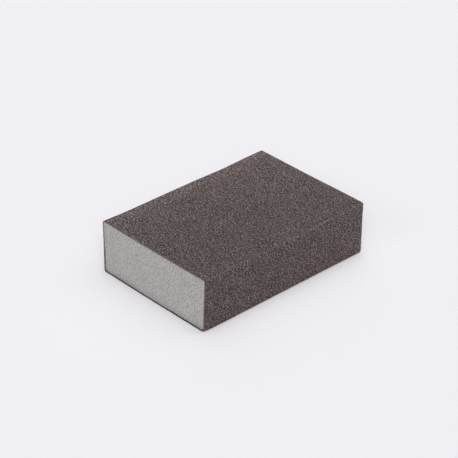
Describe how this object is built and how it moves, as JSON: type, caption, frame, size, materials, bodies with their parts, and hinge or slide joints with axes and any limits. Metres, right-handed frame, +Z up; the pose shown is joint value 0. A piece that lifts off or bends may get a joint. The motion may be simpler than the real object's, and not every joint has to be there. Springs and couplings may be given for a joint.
{
  "type": "sanding block",
  "caption": "Foam hand sanding block with abrasive coats bonded to its top, bottom and long sides and bare foam ends, for sanding wood, paint and filler.",
  "frame": {"origin": "middle of the bottom face, on the surface that the block lies on", "axes": "+X along the block's length, from the end that the left_end mount names to the right_end; +Y across its width, from the front long side to the rear one; +Z up through its height"},
  "size_m": [0.1, 0.0684, 0.027],
  "materials": {
    "foam": "cut fine-celled light grey foam, dry and matte",
    "bond_resin": "dark brown cured resin, satin",
    "abrasive_grit": "coarse grey-brown aluminium oxide grains sealed in brown resin, rough"
  },
  "bodies": {
    "root": {"foam_core": "foam", "top_bond_coat": "bond_resin", "bottom_bond_coat": "bond_resin", "front_bond_coat": "bond_resin", "rear_bond_coat": "bond_resin", "top_grit_coat": "abrasive_grit", "bottom_grit_coat": "abrasive_grit", "front_grit_coat": "abrasive_grit", "rear_grit_coat": "abrasive_grit"}
  },
  "joints": []
}
